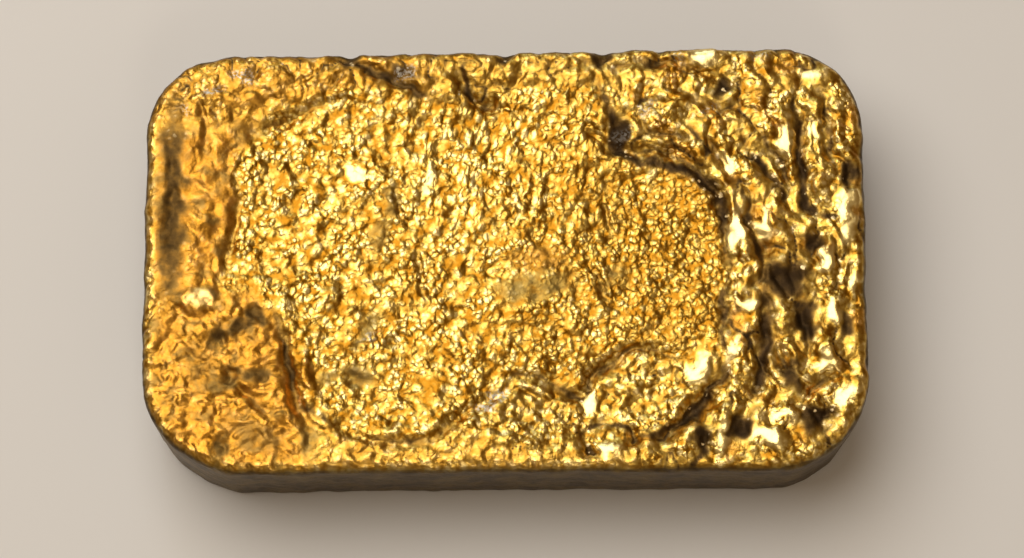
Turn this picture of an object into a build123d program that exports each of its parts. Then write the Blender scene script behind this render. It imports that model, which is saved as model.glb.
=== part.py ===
from build123d import *
from collections import namedtuple
from math import cos, hypot, pi, sin
import os

# A hand-poured ingot of yellow metal, cast in one piece in an open mould.
# The origin is on the floor under the middle of the plan, +X runs along the ingot and +Z is up.
# The mould gave the drafted walls and the flat base. The free top shows what the metal did as it froze:
# a rolled rim, a sunken field, a lower shelf, creases where the skin closed over itself, rope-like folds,
# round knolls and pits.
# Lengths are in millimetres and angles in degrees.

# Body
LENGTH = 80.0
WIDTH = 49.4
HEIGHT = 14.4
WALL_DRAFT = 3.0
BACK_EDGE_RISE = 1.1
FRONT_EDGE_RISE = 0.8
CORNER_FRONT_LEFT = 11.6
CORNER_FRONT_RIGHT = 10.6
CORNER_BACK_RIGHT = 9.4
CORNER_BACK_LEFT = 9.6
RIM_ROLL = 1.9
BASE_BEVEL = 0.7

# Cast skin: how far it stands over the rim, where it cuts nothing, and how far it sinks inside its banks
RIM_CLEARANCE = 0.5
FIELD_SINK = 0.7
FIELD_BANK = 7.0
SHELF_SINK = 0.5
SHELF_BANK = 5.0
SWELL = 0.18
SWELL_PITCH = 29.0
NET_PITCH = 6.5
NET_MARGIN = 3.0

# Points of the plan are shares of the half length and the half width, so they follow both
FIELD_EDGE = (
    (-0.80, 0.56), (-0.78, 0.20), (-0.80, -0.12), (-0.66, -0.24), (-0.60, -0.62),
    (-0.40, -0.84), (-0.15, -0.80), (0.10, -0.84), (0.36, -0.84), (0.56, -0.70),
    (0.63, -0.25), (0.62, 0.22), (0.50, 0.42), (0.27, 0.56), (0.15, 0.80),
    (-0.20, 0.80), (-0.50, 0.76),
)
SHELF_EDGE = (
    (0.00, -0.66), (0.12, -0.52), (0.34, -0.42), (0.54, -0.44),
    (0.56, -0.64), (0.40, -0.84), (0.10, -0.84),
)

# Creases are V-shaped: half_width is half the mouth, and both sizes are the largest, half way along
Crease = namedtuple("Crease", "name path half_width depth")
CREASES = (
    Crease("right_bank",
           ((0.25, 0.80), (0.29, 0.52), (0.42, 0.49), (0.56, 0.38), (0.61, 0.12), (0.62, -0.10)),
           1.10, 1.05),
    Crease("split_tail", ((0.66, 0.36), (0.69, 0.13), (0.73, -0.03), (0.68, -0.14), (0.61, -0.27)),
           0.75, 0.80),
    Crease("fold_valley", ((0.66, 0.62), (0.72, 0.50), (0.79, 0.34), (0.79, 0.18)), 0.75, 0.75),
    Crease("end_valley", ((0.78, 0.82), (0.82, 0.52), (0.83, 0.27), (0.92, 0.16)), 0.75, 0.80),
    Crease("slant_valley", ((0.54, 0.60), (0.60, 0.46), (0.64, 0.34)), 0.65, 0.60),
    Crease("lower_valley", ((0.71, -0.16), (0.71, -0.40), (0.69, -0.60), (0.66, -0.74)), 1.15, 0.90),
    Crease("shelf_valley", ((0.60, -0.34), (0.60, -0.53), (0.53, -0.66), (0.46, -0.79), (0.36, -0.86)),
           1.00, 0.95),
    Crease("shelf_bank", ((0.50, -0.46), (0.38, -0.41), (0.28, -0.49), (0.20, -0.60), (0.08, -0.56)),
           0.70, 0.75),
    Crease("field_bank", ((0.06, -0.54), (-0.04, -0.64), (-0.13, -0.73), (-0.22, -0.84)), 0.65, 0.60),
    Crease("front_arc", ((-0.47, -0.72), (-0.34, -0.84), (-0.22, -0.84), (-0.11, -0.74)), 0.65, 0.50),
    Crease("left_bank", ((-0.66, -0.18), (-0.61, -0.38), (-0.59, -0.56), (-0.54, -0.74), (-0.44, -0.86)),
           0.90, 0.85),
    Crease("left_edge", ((-0.76, 0.40), (-0.74, 0.22), (-0.77, 0.00), (-0.80, -0.20)), 0.70, 0.45),
    Crease("left_gutter", ((-0.92, 0.70), (-0.93, 0.40), (-0.92, 0.12), (-0.93, -0.18)), 0.80, 0.45),
    Crease("back_split", ((-0.50, 0.99), (-0.40, 0.90), (-0.30, 0.82), (-0.19, 0.74)), 0.85, 0.85),
    Crease("back_hook", ((-0.13, 0.99), (-0.12, 0.82), (-0.06, 0.72), (0.04, 0.70)), 0.70, 0.70),
    Crease("back_left_valley", ((-0.80, 0.66), (-0.70, 0.58), (-0.56, 0.68), (-0.42, 0.72)), 0.70, 0.45),
    Crease("back_valley", ((0.40, 0.93), (0.53, 0.90), (0.64, 0.78)), 0.70, 0.70),
)

# Folds are ropes of metal that lie half sunk in the skin
Fold = namedtuple("Fold", "name path half_width height")
FOLDS = (
    Fold("inner_rope", ((0.645, 0.36), (0.655, 0.16), (0.665, -0.04)), 0.90, 0.50),
    Fold("outer_rope", ((0.755, 0.32), (0.735, 0.15), (0.70, 0.04)), 0.75, 0.40),
    Fold("end_rope", ((0.775, 0.76), (0.785, 0.56), (0.80, 0.40)), 0.70, 0.45),
    Fold("corner_rope", ((0.56, -0.88), (0.60, -0.74), (0.66, -0.58)), 1.00, 0.55),
    Fold("shelf_knob", ((0.48, -0.62), (0.53, -0.52), (0.57, -0.42)), 1.10, 0.60),
)

# The blister is a V-shaped ring, left where gas broke through the skin
BLISTER_CENTRE = (0.288, -0.82)
BLISTER_RADIUS = 2.7
BLISTER_HALF_WIDTH = 0.60
BLISTER_DEPTH = 0.50

# Knolls are round caps that rise out of the skin, half_width each way at the foot
Knoll = namedtuple("Knoll", "name centre half_width height")
KNOLLS = (
    Knoll("end_middle", (0.885, 0.04), 1.5, 0.40),
    Knoll("corner_back_right", (0.87, 0.70), 1.6, 0.45),
    Knoll("back_right", (0.72, 0.84), 1.6, 0.40),
    Knoll("back_shoulder", (0.43, 0.76), 1.5, 0.40),
    Knoll("back_left", (-0.64, 0.82), 1.6, 0.35),
    Knoll("corner_back_left", (-0.83, 0.76), 1.5, 0.35),
    Knoll("left_lower", (-0.87, -0.20), 1.6, 0.45),
    Knoll("front_left", (-0.68, -0.77), 1.6, 0.35),
    Knoll("shelf_middle", (0.13, -0.73), 1.8, 0.40),
    Knoll("shelf_right", (0.34, -0.58), 1.6, 0.40),
    Knoll("front_right", (0.735, -0.82), 1.6, 0.50),
    Knoll("end_front", (0.80, -0.56), 1.4, 0.40),
    Knoll("end_lower", (0.88, -0.42), 1.5, 0.45),
)

# Pits are round dents of half_width each way at the mouth
Pit = namedtuple("Pit", "name centre half_width depth")
PITS = (
    Pit("lobe_pit", (-0.725, -0.32), 1.3, 0.50),
    Pit("lobe_front_pit", (-0.755, -0.55), 1.1, 0.45),
    Pit("shoulder_pit", (0.32, 0.60), 1.5, 0.60),
    Pit("end_pit", (0.775, -0.09), 1.9, 0.60),
    Pit("end_lower_pit", (0.76, -0.45), 1.3, 0.50),
    Pit("corner_pit", (0.865, -0.73), 1.5, 0.55),
)

# Cutters stand this far over the skin, and creases and folds leave it by END_CLEARANCE at their two ends.
# The plug under a knoll is wider than the knoll by PLUG_MARGIN, and as much deeper.
CUTTER_STAND = 0.6
END_CLEARANCE = 0.12
END_TAPER = 0.7
STRAND_STATIONS = 5
PLUG_MARGIN = 1.0


def plan_point(share):
    """A point of the plan from its shares of the half length and the half width."""
    return share[0] * LENGTH / 2, share[1] * WIDTH / 2


def plan_outline():
    """The plan where the walls meet the rolled rim: a little out of square, with four unlike corners."""
    half_length = LENGTH / 2
    half_width = WIDTH / 2
    front_left = (-half_length, -half_width)
    front_right = (half_length, -half_width + FRONT_EDGE_RISE)
    back_right = (half_length, half_width)
    back_left = (-half_length, half_width - BACK_EDGE_RISE)
    radii = [CORNER_FRONT_LEFT, CORNER_FRONT_RIGHT, CORNER_BACK_RIGHT, CORNER_BACK_LEFT]
    return FilletPolyline(front_left, front_right, back_right, back_left, radius=radii, close=True)


def bank(shares):
    """The closed edge of a sunken area, as many points on one smooth curve."""
    curve = Spline([plan_point(share) for share in shares], periodic=True)
    steps = 8 * len(shares)
    return [curve @ (step / steps) for step in range(steps)]


def depth_inside(x, y, edge):
    """How far a point lies inside a closed edge, and less than nothing outside it."""
    inside = False
    nearest = LENGTH
    for a, b in zip(edge, edge[1:] + edge[:1]):
        if (a.Y > y) != (b.Y > y) and x < a.X + (y - a.Y) * (b.X - a.X) / (b.Y - a.Y):
            inside = not inside
        nearest = min(nearest, hypot(x - a.X, y - a.Y))
    return nearest if inside else -nearest


def smooth_step(value):
    """0 below 0, 1 above 1, and smooth in between."""
    held = min(1.0, max(0.0, value))
    return held * held * (3 - 2 * held)


class Skin:
    """The free surface of the metal: a slow swell over the field and the shelf, clear of the rim."""

    def __init__(self):
        self.field = bank(FIELD_EDGE)
        self.shelf = bank(SHELF_EDGE)

    def height(self, x, y):
        in_field = smooth_step(0.5 + depth_inside(x, y, self.field) / FIELD_BANK)
        in_shelf = smooth_step(0.5 + depth_inside(x, y, self.shelf) / SHELF_BANK)
        turn = 2 * pi / SWELL_PITCH
        swell = SWELL * sin(turn * (x + 0.4 * y) + 1.0) * cos(turn * (y - 0.3 * x))
        sink = (FIELD_SINK + RIM_CLEARANCE - swell) * in_field + SHELF_SINK * in_shelf
        return HEIGHT + RIM_CLEARANCE - sink

    def top(self, x, y):
        """Height of the finished top, rim and field alike."""
        return min(HEIGHT, self.height(x, y))

    def slice(self, x):
        """A slice across the metal at one x, from the skin down past the floor."""
        reach = WIDTH / 2 + NET_MARGIN
        rows = round(2 * reach / NET_PITCH)
        places = [-reach + 2 * reach * row / rows for row in range(rows + 1)]
        curve = Spline([(x, y, self.height(x, y)) for y in places])
        sides = Polyline(curve @ 1, (x, reach, -NET_MARGIN), (x, -reach, -NET_MARGIN), curve @ 0)
        return make_face(curve + sides)

    def metal_below(self):
        """Everything under the skin, over more than the whole plan."""
        reach = LENGTH / 2 + NET_MARGIN
        columns = round(2 * reach / NET_PITCH)
        places = [-reach + 2 * reach * column / columns for column in range(columns + 1)]
        return loft([self.slice(x) for x in places])


def mould_block():
    """What the mould gave: drafted walls, a rim that rolls over, and a bevel round the flat base."""
    straight = extrude(make_face(plan_outline()), amount=HEIGHT)
    walls = straight.faces().filter_by(Plane.XY, reverse=True)
    block = draft(walls, Plane.XY.offset(HEIGHT - RIM_ROLL), -WALL_DRAFT)
    block = fillet(block.faces().sort_by(Axis.Z)[-1].edges(), RIM_ROLL)
    return chamfer(block.faces().sort_by(Axis.Z)[0].edges(), BASE_BEVEL)


def stations(path, skin):
    """Upright planes on the skin along a path, each with its share of the full bite, 0 at both ends."""
    plan = Spline([plan_point(share) for share in path])
    for index in range(STRAND_STATIONS):
        along = index / (STRAND_STATIONS - 1)
        spot = plan @ along
        way = plan % along
        origin = (spot.X, spot.Y, skin.top(spot.X, spot.Y))
        yield Plane(origin, x_dir=(-way.Y, way.X, 0), z_dir=(way.X, way.Y, 0)), sin(pi * along) ** END_TAPER


def groove_section(bite, half_width, depth):
    """A V whose mouth on the skin is half_width each way where its bite is the full depth."""
    mouth = (CUTTER_STAND + bite) * half_width / depth
    return make_face(Polyline((0, -bite), (mouth, CUTTER_STAND), (-mouth, CUTTER_STAND), close=True))


def crease_cutter(crease, skin):
    """The V-shaped groove of one crease, which runs out into the skin at both ends."""
    sections = []
    for plane, fullness in stations(crease.path, skin):
        bite = (crease.depth + END_CLEARANCE) * fullness - END_CLEARANCE
        sections.append(plane * groove_section(bite, crease.half_width, crease.depth))
    return loft(sections)


def cap_radius(half_width, height):
    """Radius of the circle that rises by height over a chord of half_width each way."""
    return (half_width ** 2 + height ** 2) / (2 * height)


def fold_rope(fold, skin):
    """The rope of one fold: round, half_width each way on the skin and rising out of it by height."""
    radius = cap_radius(fold.half_width, fold.height)
    sections = []
    for plane, fullness in stations(fold.path, skin):
        rise = (fold.height + END_CLEARANCE) * fullness - END_CLEARANCE
        sections.append(plane * Pos(0, rise - radius) * Circle(radius))
    return loft(sections)


def blister_cutter(skin):
    """The ring groove of the burst blister."""
    x, y = plan_point(BLISTER_CENTRE)
    section = Pos(BLISTER_RADIUS, 0) * groove_section(BLISTER_DEPTH, BLISTER_HALF_WIDTH, BLISTER_DEPTH)
    ring = revolve(Plane.XZ * section, Axis.Z)
    return Pos(x, y, skin.top(x, y)) * ring


def ball(radius):
    """A sphere with its poles along Y, so that neither lies in a cap at its top or its bottom."""
    return Rot(90, 0, 0) * Sphere(radius)


def knoll_plug(knoll, skin):
    """The cap of one knoll on a square plug that holds it in the metal."""
    x, y = plan_point(knoll.centre)
    radius = cap_radius(knoll.half_width, knoll.height)
    side = 2 * knoll.half_width + PLUG_MARGIN
    plug = Box(side, side, 2 * knoll.height + PLUG_MARGIN)
    return Pos(x, y, skin.top(x, y)) * (plug & Pos(0, 0, knoll.height - radius) * ball(radius))


def pit_ball(pit, skin):
    """The ball whose underside leaves the pit."""
    x, y = plan_point(pit.centre)
    radius = cap_radius(pit.half_width, pit.depth)
    return Pos(x, y, skin.top(x, y) - pit.depth + radius) * ball(radius)


def build_ingot():
    """The whole casting as one solid."""
    skin = Skin()
    ingot = mould_block() & skin.metal_below()
    for fold in FOLDS:
        ingot += fold_rope(fold, skin)
    for knoll in KNOLLS:
        ingot += knoll_plug(knoll, skin)
    for crease in CREASES:
        ingot -= crease_cutter(crease, skin)
    ingot -= blister_cutter(skin)
    for pit in PITS:
        ingot -= pit_ball(pit, skin)
    return ingot.solid()


os.makedirs("parts", exist_ok=True)
export_step(build_ingot(), "parts/ingot.step")
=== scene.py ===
import math
from collections import namedtuple

import bpy
import numpy as np
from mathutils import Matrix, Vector
from mathutils.bvhtree import BVHTree
from mathutils.geometry import delaunay_2d_cdt


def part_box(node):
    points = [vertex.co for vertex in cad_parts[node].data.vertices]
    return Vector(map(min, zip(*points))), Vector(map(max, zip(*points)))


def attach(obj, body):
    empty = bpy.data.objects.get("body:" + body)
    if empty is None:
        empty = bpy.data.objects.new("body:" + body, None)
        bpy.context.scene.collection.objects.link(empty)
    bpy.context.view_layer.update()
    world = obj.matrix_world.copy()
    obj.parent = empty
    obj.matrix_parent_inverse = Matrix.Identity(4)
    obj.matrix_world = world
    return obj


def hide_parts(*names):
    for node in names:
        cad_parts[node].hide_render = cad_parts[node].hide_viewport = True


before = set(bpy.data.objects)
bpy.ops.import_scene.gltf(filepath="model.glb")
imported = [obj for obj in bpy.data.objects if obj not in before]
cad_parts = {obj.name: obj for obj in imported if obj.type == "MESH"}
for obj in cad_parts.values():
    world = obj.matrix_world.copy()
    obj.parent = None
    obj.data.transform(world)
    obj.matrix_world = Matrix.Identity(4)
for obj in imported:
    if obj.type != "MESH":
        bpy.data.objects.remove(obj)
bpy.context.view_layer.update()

bl_info = {
    "name": "Poured ingot",
    "version": (1, 0, 0),
    "blender": (4, 5, 0),
    "location": "View3D > Sidebar > Ingot",
    "description": "Makes a hand-poured ingot with a granular, creased cast top",
    "category": "Object",
}

# Shapes are worked out in millimetres and put into the scene in metres
MM = 0.001

# The CAD node that the casting stands in for
NODE = "ingot"

# The most triangles that the piece may have
MOST_TRIANGLES = 199_000

# The large creases, folds, knolls and pits come with the CAD node. The lists below carry them on and add
# the smaller ones. Places are in millimetres from the middle of the top: x along the ingot, y to the back.

# A crease is a valley where the skin closed over itself: half its width, its depth beyond the node's own
# valley, how dark the dirt and painted shade in it are, and its path
Crease = namedtuple("Crease", "width depth soot path")
CREASES = (
    Crease(0.95, 0.12, 1.00, ((10, 20.5), (12, 16.5), (12.3, 13), (14.5, 11.5), (17.3, 10.8), (20.5, 9.9),
                              (22.5, 8.2), (24, 6), (24.4, 3), (24.8, 0), (24.7, -2.5))),
    Crease(0.75, 0.20, 0.75, ((24.7, -2), (24.0, -5.5), (24.2, -9), (24.5, -11))),
    Crease(0.90, 0.12, 0.90, ((24.9, -11.5), (23.3, -14.3), (21.5, -16.3), (20.2, -18), (18, -19.5),
                              (14.5, -20.6))),
    Crease(0.70, 0.15, 0.80, ((25.5, 8.2), (26.9, 6.6), (27.2, 3), (28.4, 0), (28.4, -2.2), (26.5, -4.7))),
    Crease(1.25, 0.15, 0.95, ((28.5, -3), (28.9, -8), (28.4, -12), (27.3, -16.5))),
    Crease(0.65, 0.15, 1.00, ((31.8, 19.5), (32.5, 15), (32.8, 12), (33, 9), (33.2, 6.5), (34.5, 5),
                              (36, 4.5), (38, 5.2))),
    Crease(0.55, 0.20, 0.60, ((22.3, 14.2), (24, 11), (25, 9.5), (25.5, 8.2))),
    Crease(0.60, 0.25, 0.85, ((26, 14.3), (28.5, 10.5), (30.5, 8), (31.5, 5))),
    Crease(0.50, 0.30, 0.80, ((28, 14.8), (30, 12), (31.3, 9.5), (31.4, 7))),
    Crease(0.50, 0.35, 0.70, ((15, 16.5), (15.5, 14.8), (17, 14.3), (19, 14.2), (20.7, 13.1))),
    Crease(0.55, 0.30, 0.60, ((7, 23.2), (11, 22.4), (15, 22.4), (17.5, 22.7), (20, 22.3), (22.5, 21.2),
                              (24.8, 19.8))),
    Crease(0.75, 0.10, 0.45, ((-31, 16.5), (-28, 14.5), (-25.5, 15.5), (-22.5, 17), (-18, 17.8))),
    Crease(0.85, 0.10, 0.80, ((-20.5, 24), (-16, 22), (-13, 20.8), (-9.5, 18.8), (-7, 18.2))),
    Crease(0.65, 0.15, 0.80, ((-4.5, 22.8), (-4.2, 19.5), (-3, 18), (-0.5, 17))),
    Crease(0.50, 0.15, 0.30, ((-30.3, 10.5), (-29.3, 6), (-30.3, 2), (-31.2, -3))),
    Crease(0.75, 0.08, 0.80, ((-25.3, -6), (-24.5, -9), (-23.8, -12), (-23.3, -14.5), (-22.5, -16.5),
                              (-20.5, -17.6), (-18.5, -19.4))),
    Crease(0.50, 0.15, 0.60, ((-15.4, -19.9), (-12.8, -20.8), (-8.9, -20.7), (-6.2, -19.4), (-4.9, -17.9))),
    Crease(0.55, 0.15, 0.70, ((-1, -15.5), (0.8, -13.7), (2.5, -13), (5.5, -14.2), (8.5, -15.7), (9, -14.3),
                              (10.8, -12.8), (13, -10.7), (14.5, -10.4), (17.3, -10.6), (20.3, -12.2))),
    Crease(0.45, 0.25, 0.75, ((8, -21), (8.6, -19.6), (10.2, -18.9), (12.2, -18.8), (13.8, -19.5),
                              (14.8, -21.8))),
    Crease(0.30, 0.30, 0.45, ((9.3, -0.5), (10.3, -2.5), (11.3, -5.3))),
    Crease(0.30, 0.30, 0.40, ((10.8, 6.5), (11.3, 4.5), (11.8, 2.8))),
    Crease(0.35, 0.30, 0.45, ((-12.2, 8.5), (-11.7, 6), (-10.9, 3.8))),
    Crease(0.35, 0.25, 0.35, ((-9.8, 1.4), (-9.3, -2), (-8.4, -5.4))),
    Crease(0.50, 0.35, 0.55, ((-28.8, -15.4), (-27.2, -16.3), (-25.6, -17.2))),
    Crease(0.45, 0.25, 0.30, ((-34.5, 19), (-33, 14), (-33.8, 10))),
    Crease(0.50, 0.35, 0.70, ((34.5, 20.5), (36, 16), (36.2, 12), (37, 9.5))),
    Crease(0.45, 0.35, 0.60, ((19.5, 20), (21.5, 18), (24, 17.2), (27, 18.6))),
    Crease(0.50, 0.40, 0.60, ((32.5, -16.5), (34.5, -14.2), (37, -13.2))),
    Crease(0.45, 0.35, 0.60, ((36.4, 1.8), (36.9, -1.5), (36.2, -4.5))),
    Crease(0.45, 0.30, 0.55, ((30.6, -5.0), (32.2, -6.0), (33.5, -9.0), (33.2, -12.0))),
)

# A fold is a rope of metal that stands out of the skin: half its width, its height and its path
Fold = namedtuple("Fold", "width height path")
FOLDS = (
    Fold(0.60, 0.30, ((30.3, 16), (28.4, 17.6), (26, 18.2))),
    Fold(0.80, 0.40, ((39, -12.8), (38.4, -15.3), (37.2, -17.6))),
    Fold(0.60, 0.35, ((-22.8, -11.2), (-21.8, -13.4), (-20.6, -15.6))),
    Fold(0.55, 0.25, ((-0.2, -16.6), (2, -14.6), (5, -15.4), (7.8, -17))),
    Fold(0.60, 0.30, ((34.8, 12.5), (34.6, 9.5), (35.2, 6.8))),
    Fold(0.60, 0.35, ((35.4, 2), (35.8, 0), (35.4, -2.4))),
    Fold(0.60, 0.25, ((17, 18.8), (20.5, 18.2), (23.4, 16.6))),
    Fold(0.70, 0.35, ((30.9, -8.5), (31.2, -11), (32.4, -13.5))),
)

# A lump is a round swelling, or a pit where its height is below nothing: middle, half axes, turn in
# degrees and height
Lump = namedtuple("Lump", "x y long short turn height")
LUMPS = (
    Lump(21.5, -12.5, 2.0, 1.1, 70, 0.30),
    Lump(28.8, -20.2, 2.0, 1.2, -20, 0.35),
    Lump(30.8, -17.8, 1.5, 0.9, -20, 0.40),
    Lump(35.6, -11.4, 1.4, 1.2, 80, 0.40),
    Lump(26.6, -5.6, 1.4, 0.9, 10, 0.40),
    Lump(37.8, 6.3, 1.7, 1.0, 80, 0.40),
    Lump(22.6, 23.3, 2.2, 1.2, 0, 0.40),
    Lump(11.4, -21.6, 1.0, 0.9, 0, 0.35),
    Lump(36.1, -6.2, 1.5, 0.9, 70, 0.40),
    Lump(-35.0, -4.8, 1.9, 1.2, 10, 0.25),
    Lump(-33.4, 3.5, 1.3, 0.8, 80, 0.25),
    Lump(-31.6, -9.2, 1.3, 0.9, 20, -0.35),
    Lump(-27.6, -6.2, 1.2, 0.9, 0, -0.35),
    Lump(-26.8, -13.2, 1.3, 0.6, 10, -0.25),
    Lump(-31.0, -21.4, 0.8, 1.1, 0, -0.30),
    Lump(-21.5, -20.6, 0.8, 1.6, 10, -0.30),
    Lump(11.6, 2.0, 0.6, 0.4, 0, -0.35),
    Lump(-12.6, -9.7, 0.9, 0.5, -30, -0.40),
    Lump(-16.8, -13.6, 1.5, 0.7, -40, -0.25),
    Lump(27.1, 7.4, 1.1, 0.9, 60, -0.30),
    Lump(33.8, 1.0, 1.2, 0.8, -50, -0.35),
    Lump(33.0, -7.2, 1.7, 1.1, 80, -0.45),
    Lump(37.6, -8.2, 1.2, 0.7, 80, -0.35),
    Lump(25.9, -19.1, 1.2, 0.9, 60, -0.45),
    Lump(21.6, -21.0, 1.0, 0.7, 80, -0.40),
    Lump(19.2, 11.9, 1.8, 0.9, 160, -0.20),
    Lump(24.4, 19.8, 1.2, 0.9, 30, -0.40),
    Lump(38.2, 9.6, 1.3, 0.7, 90, -0.35),
    Lump(-17.5, 23.2, 1.3, 0.8, 60, -0.45),
    Lump(1.3, 20.8, 1.2, 0.8, 60, -0.30),
    Lump(0.0, 23.4, 1.0, 0.7, 80, -0.45),
    Lump(10.8, 23.4, 1.2, 0.7, 70, -0.45),
    Lump(17.2, 23.4, 1.0, 0.7, 90, -0.40),
)

# Edge of the granular field, anticlockwise from the back left
FIELD_EDGE = (
    (-24, 18), (-28, 14.5), (-30.3, 9.5), (-29.4, 6), (-30.4, 2), (-31.4, -3), (-27.2, -4.6),
    (-25.2, -6.5), (-24.3, -10), (-23.5, -14.3), (-21.5, -17), (-18, -19.7), (-12.8, -20.6),
    (-8.5, -20.6), (-5.4, -18.6), (-1, -15.6), (2.5, -13.2), (8.7, -15.4), (11, -12.6), (14.5, -10.5),
    (20.5, -12.4), (24.6, -11), (24, -6), (24.5, 0), (24, 6), (22, 8.9), (17.3, 11), (12.3, 12.4),
    (11, 19), (4, 20.3), (-2, 18), (-8, 18.6), (-15, 20),
)

# Edge of the lower shelf in front of the field, clockwise from its left end
SHELF_EDGE = (
    (-5, -18.5), (-1, -15.8), (2.5, -13.4), (8.7, -15.6), (11, -12.8), (14.5, -10.7), (20.5, -12.6),
    (22, -15), (20.5, -18), (16, -20.5), (12, -22), (5, -22), (-2, -21.5),
)
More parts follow.
